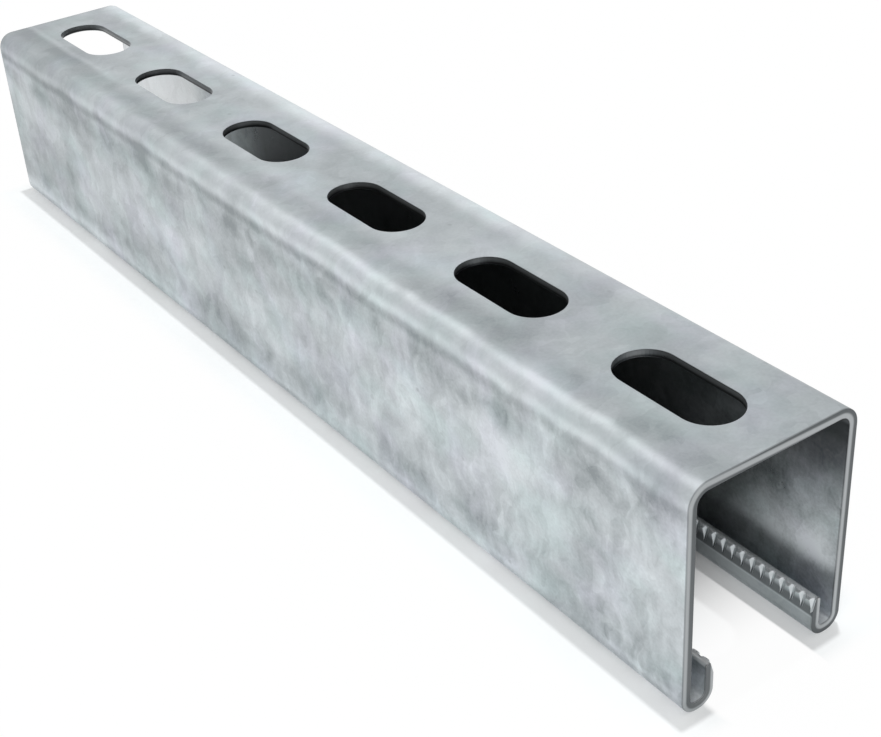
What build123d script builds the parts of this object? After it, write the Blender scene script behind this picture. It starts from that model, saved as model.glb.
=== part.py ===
"""A slotted strut channel for mounting solar panels, roll formed from one galvanised steel strip.

It lies mouth down on the rolls of its two lips. Its length runs along X and +Z points up.
The origin is on the floor plane, in the middle of the length and of the width.
"""

import math
import os

from build123d import *

# Overall section and length, in millimetres
rail_length = 300.0
profile_width = 41.3
profile_height = 52.0
sheet_thickness = 2.0

# Bends, measured inside the sheet
web_bend_inner_radius = 2.5
lip_bend_inner_radius = 1.5

# The lips that turn in at the mouth and back up into the channel: the flat between a lip's two bends, its height
# above the floor, and the free edge's rounding towards the wall and bevel towards the mouth
lip_flat_width = 0.65
lip_height = 9.6
lip_edge_radius = 0.6
lip_edge_bevel = 0.5

# The row of long slots in the web
slot_count = 6
slot_pitch = 50.0
slot_length = 30.0
slot_width = 13.5

# The serration: steep gaps pressed into the mouth side of each lip's free edge
tooth_pitch = 2.65
tooth_crest = 0.6
tooth_gap_floor = 0.6
tooth_gap_drop = 2.7
tooth_gap_run = 0.8

# How far a cutter reaches past the metal that it cuts
cutter_overrun = 1.0

# Derived sizes
web_bend_outer_radius = web_bend_inner_radius + sheet_thickness
lip_bend_outer_radius = lip_bend_inner_radius + sheet_thickness
half_width = profile_width / 2
half_mouth = half_width - 2 * lip_bend_outer_radius - lip_flat_width
tooth_gap_mouth = tooth_pitch - tooth_crest
tooth_gap_slope = math.atan2(tooth_gap_drop, tooth_gap_run)
tooth_gap_depth = tooth_gap_drop * math.cos(tooth_gap_slope)

# As many gaps on each side of the middle as the length holds, so a cut end runs through a gap or a tooth
tooth_gap_count = 2 * round(rail_length / 2 / tooth_pitch)


def channel_section():
    """Returns the section in the YZ plane: the strip's outside line, thickened inwards."""
    outside_points = (
        (half_mouth, lip_height),
        (half_mouth, 0),
        (half_width, 0),
        (half_width, profile_height),
        (-half_width, profile_height),
        (-half_width, 0),
        (-half_mouth, 0),
        (-half_mouth, lip_height),
    )
    lip_bends = (lip_bend_outer_radius, lip_bend_outer_radius)
    web_bends = (web_bend_outer_radius, web_bend_outer_radius)
    outside_line = FilletPolyline(*outside_points, radius=lip_bends + web_bends + lip_bends)
    strip = make_face(offset(outside_line, amount=sheet_thickness, side=Side.LEFT))
    wall_side = half_mouth + sheet_thickness
    wall_corners = [strip.vertices().sort_by_distance((y, lip_height))[0] for y in (wall_side, -wall_side)]
    strip = fillet(wall_corners, lip_edge_radius)
    mouth_corners = [strip.vertices().sort_by_distance((y, lip_height))[0] for y in (half_mouth, -half_mouth)]
    return Plane.YZ * chamfer(mouth_corners, lip_edge_bevel)


def web_slots():
    """Returns the cutters of the slots, standing through the web."""
    slot = SlotOverall(slot_length, slot_width)
    slot_row = Sketch() + GridLocations(slot_pitch, 0, slot_count, 1) * slot
    cutter_height = sheet_thickness + 2 * cutter_overrun
    lowest = profile_height - sheet_thickness - cutter_overrun
    return extrude(Pos(0, 0, lowest) * slot_row, amount=cutter_height)


def lip_serration():
    """Returns the cutters of the gaps between the teeth of both lips."""
    flank = (tooth_gap_mouth - tooth_gap_floor) / 2 / tooth_gap_depth
    cutter_top = tooth_gap_depth + cutter_overrun
    half_floor = tooth_gap_floor / 2
    half_top = half_floor + flank * cutter_top
    gap = make_face(
        Polyline((-half_floor, 0), (half_floor, 0), (half_top, cutter_top), (-half_top, cutter_top), close=True)
    )
    gap_row = Sketch() + GridLocations(tooth_pitch, 0, tooth_gap_count, 1) * gap

    # The row stands square to the gaps' floors, which climb from the mouth towards the wall
    climb = (0, math.cos(tooth_gap_slope), math.sin(tooth_gap_slope))
    downhill = Plane(origin=(0, half_mouth, lip_height - tooth_gap_drop), x_dir=(-1, 0, 0), z_dir=climb)
    floor_length = math.hypot(tooth_gap_drop, tooth_gap_run)
    lip_gaps = extrude(downhill.offset(-cutter_overrun) * gap_row, amount=floor_length + 2 * cutter_overrun)
    return lip_gaps, mirror(lip_gaps, about=Plane.XZ)


def mounting_rail():
    """Returns the finished channel."""
    blank = extrude(channel_section(), amount=rail_length / 2, both=True)
    right_gaps, left_gaps = lip_serration()
    return blank - web_slots() - right_gaps - left_gaps


os.makedirs("parts", exist_ok=True)
export_step(mounting_rail(), "parts/mounting_rail.step")
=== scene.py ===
"""A galvanised solar mounting rail lying mouth down on a pale studio floor."""

import math

import bmesh
import bpy
from mathutils import Matrix, Vector


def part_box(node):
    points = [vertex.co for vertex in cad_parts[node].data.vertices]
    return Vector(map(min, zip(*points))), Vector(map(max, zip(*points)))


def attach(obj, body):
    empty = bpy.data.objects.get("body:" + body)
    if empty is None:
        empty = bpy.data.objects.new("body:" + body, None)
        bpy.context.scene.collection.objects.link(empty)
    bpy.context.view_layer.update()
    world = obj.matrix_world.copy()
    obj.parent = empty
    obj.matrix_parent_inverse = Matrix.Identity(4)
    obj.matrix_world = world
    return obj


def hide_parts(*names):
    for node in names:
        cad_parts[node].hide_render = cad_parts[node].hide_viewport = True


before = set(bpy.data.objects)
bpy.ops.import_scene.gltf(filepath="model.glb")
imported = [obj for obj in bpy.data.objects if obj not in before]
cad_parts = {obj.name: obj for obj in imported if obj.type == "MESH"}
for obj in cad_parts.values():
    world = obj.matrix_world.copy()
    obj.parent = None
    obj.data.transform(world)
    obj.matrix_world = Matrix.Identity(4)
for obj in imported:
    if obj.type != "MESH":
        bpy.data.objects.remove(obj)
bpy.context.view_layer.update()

# Sizes of the rail in metres. Its length, width and height come from the rail's part in model.glb. The bends are
# outside radii.
low_corner, high_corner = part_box("mounting_rail")
HALF_LENGTH = (high_corner.x - low_corner.x) / 2
HALF_WIDTH = (high_corner.y - low_corner.y) / 2
HEIGHT = high_corner.z - low_corner.z
SHEET = 0.0020
WEB_BEND, LIP_BEND = 0.0045, 0.0035
HALF_MOUTH = 0.0130
LIP_HEIGHT = 0.0096
LIP_EDGE_RADIUS, LIP_EDGE_BEVEL = 0.0006, 0.0005
SLOT_COUNT, SLOT_PITCH, SLOT_LENGTH, SLOT_WIDTH = 6, 0.050, 0.030, 0.0135
TOOTH_PITCH, TOOTH_CREST, TOOTH_GAP_FLOOR = 0.00265, 0.0006, 0.0006
TOOTH_GAP_DROP, TOOTH_GAP_RUN = 0.0027, 0.0008

# The small rounding of all edges sharper than an angle in degrees, and how finely the curves are stepped
EDGE_ROUNDING, SHARP_ANGLE, EDGE_STEPS = 0.00018, 35, 3
BEND_STEPS, SLOT_STEPS = 14, 28

# How far a cutter reaches past the metal that it cuts
OVERRUN = 0.001

# Places along the strip, as lengths on its outside face from the middle of the web
WEB_EDGE = HALF_WIDTH - WEB_BEND
WALL_TOP = WEB_EDGE + WEB_BEND * math.pi / 2
WALL_BOTTOM = WALL_TOP + HEIGHT - WEB_BEND - LIP_BEND
LIP_FLAT = WALL_BOTTOM + LIP_BEND * math.pi / 2
LIP_TURN = LIP_FLAT + HALF_WIDTH - HALF_MOUTH - 2 * LIP_BEND
LIP_FACE = LIP_TURN + LIP_BEND * math.pi / 2

# Colours of the zinc: its darkest and palest tone, and its tints
DARK_ZINC, PALE_ZINC = (0.285, 0.315, 0.328, 1), (0.732, 0.775, 0.80, 1)
GREEN_TINT, LILAC_TINT = (0.915, 1.0, 0.975, 1), (1.0, 0.96, 1.02, 1)
SPOT_COLOUR = (0.22, 0.24, 0.25, 1)
# Painted light on the inner turns and the edges of the lips, painted shade deep inside, and painted light inside the
# far end
TURN_PAINTED_LIGHT = (0.84, 0.86, 0.87, 1)
LIP_EDGE_PAINTED_LIGHT = (0.90, 0.92, 0.93, 1)
INSIDE_PAINTED_SHADE = (0.08, 0.088, 0.092, 1)
FAR_END_PAINTED_LIGHT = (0.88, 0.90, 0.91, 1)

# Colours of the bare edges: the painted highlight and the dark; of the burr; and of the pressed lips: the painted
# shade of the crests, the painted light of the gaps, and the darker face below them
END_PAINTED_HIGHLIGHT, END_DARK = (0.42, 0.44, 0.45, 1), (0.10, 0.11, 0.115, 1)
PUNCHED_PAINTED_HIGHLIGHT, PUNCHED_DARK = (0.17, 0.18, 0.185, 1), (0.03, 0.033, 0.035, 1)
BURR_COLOUR = (0.11, 0.115, 0.12, 1)
CREST_PAINTED_SHADE, GAP_PAINTED_LIGHT = (0.07, 0.08, 0.085, 1), (0.66, 0.70, 0.715, 1)
BELOW_TEETH_COLOUR = (0.21, 0.235, 0.24, 1)

# The floor, with its painted shade under the rail, and how strongly the sky lights the scene
FLOOR_PAINTED_SHADE, FLOOR_PALE = (0.05, 0.05, 0.05, 1), (0.925, 0.95, 0.955, 1)
FLOOR_SIZE = 6.0
SKY_LIGHT = 0.62

# The camera, as fitted to the photograph, 881 pixels wide
AZIMUTH, ELEVATION, ROLL = math.radians(56.376), math.radians(32.084), math.radians(-3.998)
CAMERA_PLACE = Vector((0.30077, -0.16875, 0.20952))
FOCAL_PX, PICTURE_WIDTH = 1562.96, 881
SENSOR_WIDTH = 36.0


def mm(length):
    """Turns metres into millimetres."""
    return length * 1000


def bend(points, centre, radius, start, sweep):
    """Adds an arc of the section to points, with its angles in degrees."""
    for step in range(BEND_STEPS + 1):
        angle = math.radians(start + sweep * step / BEND_STEPS)
        points.append((centre[0] + radius * math.cos(angle), centre[1] + radius * math.sin(angle)))


def half_strip(inset):
    """Returns the section's line at inset below the outside face, from the +Y lip to the middle of the web."""
    points = []
    if inset > 0:
        corner = (HALF_MOUTH + inset - LIP_EDGE_RADIUS, LIP_HEIGHT - LIP_EDGE_RADIUS)
        bend(points, corner, LIP_EDGE_RADIUS, 90, -90)
    else:
        points += [(HALF_MOUTH + LIP_EDGE_BEVEL, LIP_HEIGHT), (HALF_MOUTH, LIP_HEIGHT - LIP_EDGE_BEVEL)]
    lip_radius, web_radius = LIP_BEND - inset, WEB_BEND - inset
    bend(points, (HALF_MOUTH + LIP_BEND, LIP_BEND), lip_radius, 180, 90)
    bend(points, (HALF_WIDTH - LIP_BEND, LIP_BEND), lip_radius, 270, 90)
    bend(points, (HALF_WIDTH - WEB_BEND, HEIGHT - WEB_BEND), web_radius, 0, 90)
    return points


def mirrored(points):
    """Returns points followed by their mirror image, so that a half line becomes the whole line."""
    return points + [(-y, z) for y, z in reversed(points)]


def prism(mesh, outline, start, end):
    """Adds to mesh a prism between two copies of an outline of 3-D points, moved by the vectors start and end."""
    near = [mesh.verts.new(Vector(p) + start) for p in outline]
    far = [mesh.verts.new(Vector(p) + end) for p in outline]
    count = len(outline)
    for i in range(count):
        j = (i + 1) % count
        mesh.faces.new((near[i], near[j], far[j], far[i]))
    mesh.faces.new(list(reversed(near)))
    mesh.faces.new(far)


def mesh_object(name, mesh):
    """Turns a bmesh into a linked object with outward faces."""
    bmesh.ops.recalc_face_normals(mesh, faces=mesh.faces)
    data = bpy.data.meshes.new(name)
    mesh.to_mesh(data)
    mesh.free()
    obj = bpy.data.objects.new(name, data)
    bpy.context.scene.collection.objects.link(obj)
    return obj


def strip_blank():
    """Makes the channel before it is punched."""
    mesh = bmesh.new()
    outline = mirrored(half_strip(0)) + list(reversed(mirrored(half_strip(SHEET))))
    ring = [(0, y, z) for y, z in outline]
    prism(mesh, ring, Vector((-HALF_LENGTH, 0, 0)), Vector((HALF_LENGTH, 0, 0)))
    return mesh_object("rail", mesh)


def add_tooth_gaps(mesh):
    """Adds the cutters of the gaps in both lips, whose floors climb from the mouth towards the wall."""
    angle = math.atan2(TOOTH_GAP_DROP, TOOTH_GAP_RUN)
    depth = TOOTH_GAP_DROP * math.cos(angle)
    flank = (TOOTH_PITCH - TOOTH_CREST - TOOTH_GAP_FLOOR) / 2 / depth
    top = depth + OVERRUN
    half_floor, half_top = TOOTH_GAP_FLOOR / 2, TOOTH_GAP_FLOOR / 2 + flank * top
    corners = [(-half_floor, 0), (half_floor, 0), (half_top, top), (-half_top, top)]
    count = 2 * round(HALF_LENGTH / TOOTH_PITCH)
    floor_length = math.hypot(TOOTH_GAP_DROP, TOOTH_GAP_RUN)
    for side in (1, -1):
        climb = Vector((0, side * math.cos(angle), math.sin(angle)))
        outwards = Vector((0, -side * math.sin(angle), math.cos(angle)))
        foot = Vector((0, side * HALF_MOUTH, LIP_HEIGHT - TOOTH_GAP_DROP))
        for n in range(count):
            x = (n - (count - 1) / 2) * TOOTH_PITCH
            outline = [foot + Vector((x + across, 0, 0)) + outwards * up for across, up in corners]
            prism(mesh, outline, climb * -OVERRUN, climb * (floor_length + OVERRUN))


def punches():
    """Makes the cutters of the slots and of the gaps between the teeth."""
    mesh = bmesh.new()
    radius = SLOT_WIDTH / 2
    straight = SLOT_LENGTH / 2 - radius
    for n in range(SLOT_COUNT):
        middle = (n - (SLOT_COUNT - 1) / 2) * SLOT_PITCH
        outline = []
        for side, start in ((1, 0), (-1, math.pi)):
            for step in range(SLOT_STEPS + 1):
                angle = math.pi * (step / SLOT_STEPS - 0.5) + start
                outline.append((middle + side * straight + radius * math.cos(angle), radius * math.sin(angle), 0))
        prism(mesh, outline, Vector((0, 0, HEIGHT - SHEET - OVERRUN)), Vector((0, 0, HEIGHT + OVERRUN)))
    add_tooth_gaps(mesh)
    return mesh_object("punches", mesh)


def strip_place(y, z):
    """Returns a point's place in the flat strip: its length from the middle of the web and its depth in the sheet."""
    side, y = (1 if y >= 0 else -1), abs(y)
    lip_middle = (HALF_MOUTH + HALF_WIDTH) / 2
    if z > HEIGHT - WEB_BEND:
        if y < HALF_WIDTH - WEB_BEND:
            along, depth = y, HEIGHT - z
        else:
            across, up = y - (HALF_WIDTH - WEB_BEND), z - (HEIGHT - WEB_BEND)
            along, depth = WEB_EDGE + WEB_BEND * math.atan2(across, up), WEB_BEND - math.hypot(across, up)
    elif z > LIP_BEND:
        if y > lip_middle:
            along, depth = WALL_BOTTOM - (z - LIP_BEND), HALF_WIDTH - y
        else:
            along, depth = LIP_FACE + (z - LIP_BEND), y - HALF_MOUTH
    elif y > HALF_WIDTH - LIP_BEND:
        across, down = y - (HALF_WIDTH - LIP_BEND), LIP_BEND - z
        along, depth = WALL_BOTTOM + LIP_BEND * math.atan2(down, across), LIP_BEND - math.hypot(across, down)
    elif y < HALF_MOUTH + LIP_BEND:
        across, down = HALF_MOUTH + LIP_BEND - y, LIP_BEND - z
        along, depth = LIP_TURN + LIP_BEND * math.atan2(across, down), LIP_BEND - math.hypot(across, down)
    else:
        along, depth = LIP_FLAT + (HALF_WIDTH - LIP_BEND - y), z
    return side * along, depth


def mark_strip(mesh):
    """Stores each vertex's place in the strip in millimetres, and marks the cut faces and the faces of the gaps."""
    strip = mesh.attributes.new("strip", "FLOAT_VECTOR", "POINT")
    for vertex, item in zip(mesh.vertices, strip.data):
        along, depth = strip_place(vertex.co.y, vertex.co.z)
        item.vector = (mm(vertex.co.x), mm(along), mm(depth))
    cut = mesh.attributes.new("cut_face", "FLOAT", "FACE")
    gap = mesh.attributes.new("tooth_gap", "FLOAT", "FACE")
    for face, cut_item, gap_item in zip(mesh.polygons, cut.data, gap.data):
        along, depth = strip_place(face.center.y, face.center.z)

        # A cut face looks out of an end or lies well inside the sheet, in a slot's wall
        at_end = abs(face.center.x) > HALF_LENGTH - EDGE_ROUNDING and abs(face.normal.x) > 0.3
        in_slot = 0.15 * SHEET < depth < 0.85 * SHEET and abs(along) < WEB_EDGE
        cut_item.value = 1.0 if at_end or in_slot else 0.0

        # A gap's floor and flanks are neither upright like the lip's faces nor level like its top
        high_on_lip = abs(along) > LIP_FACE and LIP_HEIGHT - TOOTH_GAP_DROP < face.center.z and not at_end
        sloped = abs(face.normal.y) < 0.97 and face.normal.z < 0.9 and 0.0001 < depth < TOOTH_GAP_RUN
        gap_item.value = 1.0 if high_on_lip and sloped else 0.0


class Nodes:
    """Short names for the nodes of a material or a world."""

    def __init__(self, owner):
        owner.use_nodes = True
        self.tree = owner.node_tree

    def put(self, node, inputs):
        """Links each socket in inputs to the node's input of that key, and sets each plain value there."""
        for key, value in inputs.items():
            if isinstance(value, bpy.types.NodeSocket):
                self.tree.links.new(value, node.inputs[key])
            else:
                node.inputs[key].default_value = value

    def add(self, kind, inputs=(), **settings):
        """Adds a node with its settings and its inputs."""
        node = self.tree.nodes.new(kind)
        for key, value in settings.items():
            setattr(node, key, value)
        self.put(node, dict(inputs))
        return node

    def attribute(self, name, output):
        return self.add("ShaderNodeAttribute", attribute_name=name).outputs[output]

    def split(self, vector):
        """Gives the three parts of a vector or a colour."""
        return self.add("ShaderNodeSeparateXYZ", {0: vector}).outputs

    def math(self, operation, *values):
        return self.add("ShaderNodeMath", dict(enumerate(values)), operation=operation).outputs[0]

    def vector_math(self, operation, *values):
        return self.add("ShaderNodeVectorMath", dict(enumerate(values)), operation=operation).outputs[0]

    def times(self, value, *others):
        """The product of all the values."""
        for other in others:
            value = self.math("MULTIPLY", value, other)
        return value

    def plus(self, value, amount, share):
        """The value with a share of the amount added to it."""
        return self.math("MULTIPLY_ADD", amount, share, value)

    def most(self, value, *others):
        """The largest of all the values."""
        for other in others:
            value = self.math("MAXIMUM", value, other)
        return value

    def rest(self, value):
        """What the value leaves of 1."""
        return self.math("SUBTRACT", 1.0, value)

    def spread(self, value, low, high, out_low=0.0, out_high=1.0, smooth=False):
        """Maps low..high to out_low..out_high and holds it at the ends."""
        inputs = {"Value": value, "From Min": low, "From Max": high, "To Min": out_low, "To Max": out_high}
        kind = "SMOOTHSTEP" if smooth else "LINEAR"
        return self.add("ShaderNodeMapRange", inputs, interpolation_type=kind).outputs["Result"]

    def near(self, value, centre, width):
        """A soft bump of 1 where value is centre, and 0 beyond width from it."""
        away = self.math("ABSOLUTE", self.math("SUBTRACT", value, centre))
        return self.spread(away, 0.0, width, 1.0, 0.0, smooth=True)

    def noise(self, vector, scale, detail=2.0, roughness=0.5, output="Fac"):
        """Noise of about 0.25 to 0.75, on the vector scaled by a number for each axis."""
        scaled = self.vector_math("MULTIPLY", vector, scale)
        inputs = {"Vector": scaled, "Scale": 1.0, "Detail": detail, "Roughness": roughness}
        return self.add("ShaderNodeTexNoise", inputs).outputs[output]

    def cells(self, vector, scale):
        """Cells on the scaled vector: the distance from the cell's centre, and a number drawn for each cell."""
        scaled = self.vector_math("MULTIPLY", vector, scale)
        cells = self.add("ShaderNodeTexVoronoi", {"Vector": scaled, "Scale": 1.0, "Randomness": 1.0})
        return cells.outputs["Distance"], self.split(cells.outputs["Color"])[0]

    def mix(self, factor, a, b, blend="MIX"):
        """Mixes or blends the colour b into the colour a."""
        inputs = {"Factor": factor, 6: a, 7: b}
        node = self.add("ShaderNodeMix", inputs, data_type="RGBA", blend_type=blend, clamp_factor=True)
        return node.outputs[2]

    def seen(self):
        """1 for the camera's rays and for glossy rays, and 0 for all others."""
        ray = self.add("ShaderNodeLightPath").outputs
        return self.most(ray["Is Camera Ray"], ray["Is Glossy Ray"])


class GalvanisedSteel(Nodes):
    """The material of the rail, laid out on the flat strip, with its places and widths in millimetres."""

    def __init__(self):
        self.material = bpy.data.materials.new("galvanised_steel")
        super().__init__(self.material)
        self.strip = self.attribute("strip", "Vector")
        self.cut = self.attribute("cut_face", "Fac")
        self.gap = self.attribute("tooth_gap", "Fac")

        # Places on the strip, and shares of 0 to 1 that tell its parts from each other
        self.x, self.side, self.depth = self.split(self.strip)
        self.from_middle = self.math("ABSOLUTE", self.x)
        self.along = self.math("ABSOLUTE", self.side)
        self.lip_height = self.math("SUBTRACT", self.along, mm(LIP_FACE - LIP_BEND))
        self.inside = self.spread(self.depth, 0.9, 1.1)
        self.outside = self.rest(self.inside)
        self.flank = self.spread(self.along, mm(WALL_TOP) - 2.0, mm(WALL_TOP) + 2.0)
        self.near_end = self.spread(self.x, -60.0, 110.0)
        self.lip_turn = self.times(self.near(self.along, mm(LIP_FLAT + LIP_TURN) / 2, 6.5), self.inside)

        # Noises, from the largest to the smallest. The warped place gives patches with ragged edges.
        drift = self.noise(self.strip, (0.12, 0.12, 1.0), output="Color")
        drift = self.vector_math("SUBTRACT", drift, (0.5, 0.5, 0.5))
        self.warped = self.vector_math("MULTIPLY_ADD", drift, (7.0, 6.0, 0.0), self.strip)
        self.patchy = self.spread(self.noise(self.strip, (0.04, 0.06, 1.5)), 0.38, 0.62)
        self.blotch = self.noise(self.warped, (0.085, 0.10, 1.5), detail=3.0)
        self.fleck = self.noise(self.warped, (0.22, 0.20, 1.5), detail=3.0, roughness=0.62)
        self.grain = self.noise(self.strip, (1.4, 1.3, 1.5), roughness=0.6)

        # The tone is the zinc's mottle with painted highlights and painted shade laid on it
        tone = self.web_light_and_shade(self.painted_light_marks(self.mottle()))
        colour = self.zinc_colour(tone)
        colour = self.inside_light_and_shade(colour)
        colour = self.edge_colour(colour)
        colour = self.tooth_light_and_shade(colour)
        self.fill_shader(colour)

    def mottle(self):
        """The tone of the zinc's cloudy mottle, with small patches, a little grain, short smears near +X, and painted
        shade on the walls towards -X.
        """
        cloud = self.noise(self.strip, (0.026, 0.034, 1.5), detail=3.0)
        crystal = self.cells(self.warped, (0.34, 0.20, 0.3))[1]
        parts = ((cloud, 0.75), (self.blotch, 0.55), (self.fleck, 0.32), (self.grain, 0.24), (crystal, 0.09))
        mottle = 0.0
        for noise, strength in parts:
            mottle = self.plus(mottle, self.math("SUBTRACT", noise, 0.5), strength)
        contrast = self.plus(self.plus(0.6, self.flank, 0.4), self.inside, 0.8)
        tone = self.plus(0.5, mottle, contrast)

        smear = self.math("SUBTRACT", self.noise(self.warped, (0.45, 0.16, 1.5), roughness=0.45), 0.5)
        smeared = self.times(self.near_end, self.flank, self.plus(0.08, self.patchy, 0.34))
        tone = self.plus(tone, smear, smeared)
        # Painted shade: the walls darken a little towards -X
        return self.plus(tone, self.times(self.flank, self.spread(self.x, -40.0, -120.0)), -0.06)

    def painted_light_marks(self, tone):
        """Adds painted highlights and painted shade in lines and zones along the strip, which wander a little to both
        sides.
        """
        wave = self.math("SUBTRACT", self.noise(self.strip, (0.045, 0.0, 0.0), detail=4.0), 0.5)
        place = self.plus(self.along, wave, 3.0)
        facing = self.times(self.outside, self.spread(self.side, 1.0, -1.0))
        highlight_lines = self.times(facing, self.spread(self.blotch, 0.30, 0.55, 0.45, 1.0))
        sharp = self.times(highlight_lines, self.spread(self.x, -40.0, 80.0, 0.35, 1.0))
        # The share of the zones of painted shade, fuller where the blotches are low
        dull = self.times(self.outside, self.spread(self.blotch, 0.62, 0.38, 0.35, 1.0))
        off_far_end = self.spread(self.x, -125.0, -45.0)
        at_far_end = self.spread(self.x, -80.0, -110.0)

        # Each mark: the place of its middle, its reach to each side, its strength and its share. There are painted
        # highlights in lines and a pale ground of painted light on the web bend at -Y, a painted light line on the web
        # at the far end, darker zones of painted shade on the web and at the top of the wall, a band of painted shade
        # above the lip bend that stands for the floor's shadow mirrored in the wall, and painted highlight lines just
        # above the lip bend.
        marks = (
            (mm(WEB_EDGE) + 1.8, 1.8, 0.24, self.times(sharp, off_far_end)),
            (mm(WEB_EDGE + WALL_TOP) / 2, 5.5, 0.10, self.times(facing, off_far_end)),
            (10.0, 1.8, 0.12, self.times(facing, at_far_end)),
            (mm(WALL_TOP) - 1.0, 1.8, 0.20, self.times(highlight_lines, self.spread(self.x, -130.0, 40.0, 0.4, 1.0))),
            (mm(WEB_EDGE) - 5.0, 3.5, -0.08, facing),
            (mm(WALL_TOP) + 1.6, 2.0, -0.20, self.times(self.outside, self.spread(self.x, 140.0, 60.0, 0.4, 1.0))),
            (mm(WALL_TOP) + 6.0, 5.0, -0.15, self.times(dull, self.spread(self.x, 150.0, 125.0, 0.1, 1.0))),
            (mm(WALL_BOTTOM) - 6.0, 5.0, -0.13, dull),
            (mm(WALL_BOTTOM) - 1.5, 3.0, 0.12, self.times(self.outside, self.spread(self.x, -50.0, -90.0))),
            (mm(WALL_BOTTOM) - 0.8, 1.2, 0.10, self.times(self.outside, self.patchy)),
        )
        for centre, reach, strength, share in marks:
            tone = self.plus(tone, self.times(self.near(place, centre, reach), share), strength)

        # A band of painted light down the walls, which runs lower in the middle of the length than at both ends
        off_middle = self.math("DIVIDE", self.x, mm(HALF_LENGTH))
        lit_band_line = self.plus(mm(WALL_TOP) + 24.5, self.times(off_middle, off_middle), -15.0)
        lit_band = self.near(self.plus(self.along, wave, 12.0), lit_band_line, 12.0)
        return self.plus(tone, self.times(lit_band, self.outside), 0.13)

    def web_light_and_shade(self, tone):
        """Adds a painted highlight on the web bend at +Y, and the web's tones of painted light and shade."""
        lit_bend_at_y = self.times(self.near(self.side, mm(WEB_EDGE) + 1.0, 6.0), self.outside)
        tone = self.plus(tone, lit_bend_at_y, self.spread(self.x, 135.0, 40.0, -0.04, 0.30))
        # Painted shade near the web's -Y edge and at its far end at -Y, painted light left of the middle, and painted
        # shade over the whole web that grows towards +X
        shaded_edge = self.near(self.side, -14.0, 4.0)
        shaded_far_left = self.times(self.spread(self.x, -85.0, -110.0), self.spread(self.side, 0.0, -6.0))
        lit_left = self.times(self.near(self.side, -9.0, 6.0), self.near(self.x, -50.0, 70.0))
        web = self.spread(self.x, 90.0, 125.0, -0.08, -0.14)
        for part, strength in ((shaded_edge, -0.09), (shaded_far_left, -0.07), (lit_left, 0.12)):
            web = self.plus(web, part, strength)
        return self.plus(tone, web, self.rest(self.flank))

    def zinc_colour(self, tone):
        """Turns the tone, with its painted light and shade, into the tinted colour of the zinc, with a few small dull
        spots.
        """
        colour = self.mix(self.spread(tone, 0.2, 0.8), DARK_ZINC, PALE_ZINC)
        green = self.spread(self.noise(self.strip, (0.05, 0.08, 1.5), detail=3.0), 0.46, 0.66)
        lilac = self.spread(self.noise(self.warped, (0.06, 0.05, 2.5), detail=3.0), 0.48, 0.68)
        colour = self.mix(self.times(green, 0.6), colour, GREEN_TINT, "MULTIPLY")
        colour = self.mix(self.times(lilac, 0.7), colour, LILAC_TINT, "MULTIPLY")
        distance, drawn = self.cells(self.strip, (0.13, 0.15, 0.3))
        spot = self.times(self.spread(distance, 0.10, 0.04), self.outside, self.spread(drawn, 0.66, 0.72))
        return self.mix(self.times(spot, 0.30), colour, SPOT_COLOUR)

    def inside_light_and_shade(self, colour):
        """Adds painted light on the turns and the edges of the lips, painted shade deep inside, and painted light
        inside its far end.
        """
        # Painted light on the inner turns of the lips and on their edges
        colour = self.mix(self.times(self.lip_turn, 0.7), colour, TURN_PAINTED_LIGHT)
        colour = self.mix(self.spread(self.lip_height, 8.9, 9.3), colour, LIP_EDGE_PAINTED_LIGHT)
        # Painted shade deep inside, in the middle of the length and under the web towards +X
        middle_part = self.times(self.spread(self.x, -95.0, -62.0), self.spread(self.x, 138.0, 90.0))
        under_web = self.spread(self.along, mm(WALL_TOP) + 18.0, mm(WALL_TOP) + 3.0)
        shaded_inside = self.most(middle_part, self.times(self.near_end, under_web))
        colour = self.mix(self.times(shaded_inside, self.inside, 0.88), colour, INSIDE_PAINTED_SHADE)
        # Painted light inside the far end
        far_part = self.spread(self.x, -90.0, -105.0)
        return self.mix(self.times(self.inside, far_part, 0.6), colour, FAR_END_PAINTED_LIGHT)

    def edge_colour(self, colour):
        """Colours the bare cut edges with a line of painted highlight, darker towards both faces of the sheet, and the
        burr along the cut ends.
        """
        end = mm(HALF_LENGTH)
        at_end = self.spread(self.from_middle, end - 2.0, end - 1.0)

        # The line of painted highlight on a cut end moves from near the outside face at -Y to near the inside face at
        # +Y
        lit_depth = self.times(self.spread(self.side, -23.0, 23.0, 0.40, 1.55), at_end)
        lit_depth = self.plus(lit_depth, self.rest(at_end), 0.8)
        off_lit = self.math("ABSOLUTE", self.math("SUBTRACT", self.depth, lit_depth))
        rim = self.spread(self.plus(off_lit, self.flank, 0.12), 0.35, 0.75)
        punched_colour = self.mix(rim, PUNCHED_PAINTED_HIGHLIGHT, PUNCHED_DARK)
        cut_colour = self.mix(at_end, punched_colour, self.mix(rim, END_PAINTED_HIGHLIGHT, END_DARK))
        burr = self.spread(self.from_middle, end - 0.45, end - 0.25)
        colour = self.mix(self.times(burr, 0.6), colour, BURR_COLOUR)
        return self.mix(self.times(self.cut, 0.9), colour, cut_colour)

    def tooth_light_and_shade(self, colour):
        """Colours the mouth side of the lips: gaps bright with painted light in a strip of painted shade on the
        crests, and a darker face below it.
        """
        mouth_side = self.spread(self.depth, 0.5, 0.2)
        pressed = self.times(self.spread(self.lip_height, 5.4, 5.9), self.spread(self.lip_height, 9.0, 7.6))
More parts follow.
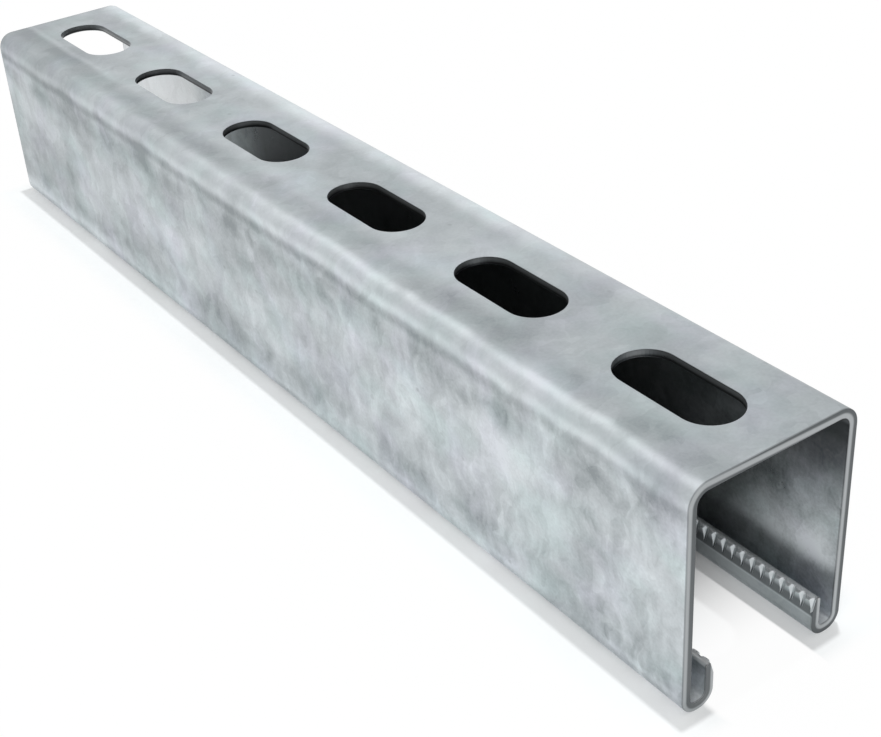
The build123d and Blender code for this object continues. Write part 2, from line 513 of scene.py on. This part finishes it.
        # Painted shade on the crests between the gaps, and painted light on the gaps' floors and flanks
        shaded_crests = self.times(pressed, mouth_side, self.rest(self.most(self.gap, self.cut)))
        colour = self.mix(self.times(shaded_crests, 0.85), colour, CREST_PAINTED_SHADE)
        colour = self.mix(self.times(self.gap, 0.9), colour, GAP_PAINTED_LIGHT)
        below = self.times(self.spread(self.lip_height, 5.6, 5.2), self.spread(self.lip_height, 1.0, 3.0), mouth_side)
        return self.mix(self.times(below, self.rest(self.cut), 0.6), colour, BELOW_TEETH_COLOUR)

    def fill_shader(self, colour):
        """Gives the shader its colour, metal, roughness and fine relief."""
        rough = self.plus(self.plus(self.times(self.blotch, 0.5), self.fleck, 0.25), self.grain, 0.25)
        rough = self.plus(self.spread(rough, 0.35, 0.65, 0.40, 0.56), self.inside, -0.14)
        height = self.plus(self.times(self.grain, 0.3), self.fleck, 0.7)
        bump = self.add("ShaderNodeBump", {"Strength": 0.20, "Distance": 0.0002, "Height": height})
        metallic = self.plus(0.8, self.lip_turn, -0.5)
        inputs = {"Base Color": colour, "Metallic": metallic, "Roughness": rough, "Normal": bump.outputs["Normal"]}
        self.put(self.tree.nodes["Principled BSDF"], inputs)


def make_rail():
    """Makes the finished rail."""
    rail = strip_blank()
    cutters = punches()
    cut = rail.modifiers.new("punch", "BOOLEAN")
    cut.object = cutters
    cut.operation = "DIFFERENCE"
    cut.solver = "EXACT"
    rounding = rail.modifiers.new("rounding", "BEVEL")
    rounding.width = EDGE_ROUNDING
    rounding.segments = EDGE_STEPS
    rounding.limit_method = "ANGLE"
    rounding.angle_limit = math.radians(SHARP_ANGLE)
    rounding.harden_normals = True

    # Without this the large end faces would be split into triangles that carry the depth in the sheet wrongly
    triangles = rail.modifiers.new("triangles", "TRIANGULATE")
    triangles.min_vertices = 5
    triangles.ngon_method = "BEAUTY"
    triangles.keep_custom_normals = True
    rail.data.shade_smooth()
    graph = bpy.context.evaluated_depsgraph_get()
    finished = bpy.data.meshes.new_from_object(rail.evaluated_get(graph))
    rail.modifiers.clear()
    rail.data = finished
    bpy.data.objects.remove(cutters)
    mark_strip(rail.data)
    rail.data.materials.clear()
    rail.data.materials.append(GalvanisedSteel().material)
    return rail


def floor_material():
    """Makes the pale floor, which glows white to the camera and to glossy rays where no shadow should show."""
    material = bpy.data.materials.new("floor")
    n = Nodes(material)
    x, y, _ = n.split(n.add("ShaderNodeTexCoord").outputs["Object"])
    off_x, off_y = n.math("ABSOLUTE", x), n.math("ABSOLUTE", y)

    def fade(value, low, high):
        """Gives 0 at low and 1 at high, which may lie on either side of low."""
        return n.spread(value, low, high, smooth=True)

    # The floor is painted dark under the middle of the rail, painted shade that keeps the rail's inside dark
    past_feet = fade(off_y, HALF_MOUTH, HALF_WIDTH)
    colour = n.mix(n.most(past_feet, fade(off_x, 0.095, 0.135)), FLOOR_PAINTED_SHADE, FLOOR_PALE)
    shader = n.tree.nodes["Principled BSDF"]
    n.put(shader, {"Base Color": colour, "Roughness": 0.9, "Specular IOR Level": 0.1})

    # The glow is 0 under the middle of the rail, strong between the lips at both ends, where it is painted light on
    # floor that lies in the rail's shadow, weak beside the feet, where the shadow falls, and full farther out
    in_mouth = n.times(fade(y, -0.0165, -0.0140), fade(y, 0.0116, 0.0106))
    at_ends = n.most(fade(x, 0.105, 0.145), n.times(fade(x, -0.136, -0.150), 0.8))
    beside = n.most(past_feet, fade(off_x, 0.100, 0.140))
    past_side = fade(off_y, HALF_WIDTH + 0.003, HALF_WIDTH + 0.012)
    beyond = n.most(past_side, fade(off_x, HALF_LENGTH + 0.002, HALF_LENGTH + 0.008))
    share = n.most(n.times(in_mouth, at_ends, 0.97), n.times(beside, 0.27), n.times(beyond, 0.97))
    glow = n.add("ShaderNodeEmission", {"Color": (1, 1, 1, 1), "Strength": 1.0})
    inputs = {"Fac": n.times(share, n.seen()), 1: shader.outputs[0], 2: glow.outputs[0]}
    blend = n.add("ShaderNodeMixShader", inputs)
    n.put(n.tree.nodes["Material Output"], {"Surface": blend.outputs[0]})
    return material


def soft_light(name, place, aim, size, power):
    """Adds a square area light that faces aim and that the metal doesn't mirror."""
    data = bpy.data.lights.new(name, "AREA")
    data.size = size
    data.energy = power
    light = bpy.data.objects.new(name, data)
    light.location = place
    light.rotation_euler = (Vector(aim) - Vector(place)).to_track_quat("-Z", "Y").to_euler()
    light.visible_glossy = False
    bpy.context.scene.collection.objects.link(light)


def fitted_camera():
    """Adds the camera of the photograph."""
    data = bpy.data.cameras.new("camera")
    data.sensor_width = SENSOR_WIDTH
    data.lens = SENSOR_WIDTH * FOCAL_PX / PICTURE_WIDTH
    camera = bpy.data.objects.new("camera", data)
    bpy.context.scene.collection.objects.link(camera)
    level = math.cos(ELEVATION)
    back = Vector((math.sin(AZIMUTH) * level, -math.cos(AZIMUTH) * level, math.sin(ELEVATION)))
    right = Vector((math.cos(AZIMUTH), math.sin(AZIMUTH), 0))
    up = back.cross(right)
    rolled_right = right * math.cos(ROLL) + up * math.sin(ROLL)
    rolled_up = up * math.cos(ROLL) - right * math.sin(ROLL)
    turn = Matrix((rolled_right, rolled_up, back)).transposed()
    camera.matrix_world = Matrix.Translation(CAMERA_PLACE) @ turn.to_4x4()
    return camera


rail = make_rail()
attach(rail, "root")
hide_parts("mounting_rail")

# The floor
floor_mesh = bmesh.new()
bmesh.ops.create_grid(floor_mesh, x_segments=1, y_segments=1, size=FLOOR_SIZE)
floor = mesh_object("floor", floor_mesh)
floor.data.materials.append(floor_material())

# The sky lights the rail and the floor at a plain level, and the camera and the metal see it as white
scene = bpy.context.scene
scene.world = bpy.data.worlds.new("studio")
sky = Nodes(scene.world)
sky_strength = sky.plus(SKY_LIGHT, sky.seen(), 1.0 - SKY_LIGHT)
sky.put(sky.tree.nodes["Background"], {"Color": (1, 1, 1, 1), "Strength": sky_strength})

soft_light("overhead", (0.0, 0.145, 3.0), (0, 0, 0), 0.06, 36.0)
soft_light("front", (0.7, -0.9, 0.5), (0.05, 0, 0.03), 0.6, 4.0)

scene.camera = fitted_camera()
scene.view_settings.view_transform = "Standard"
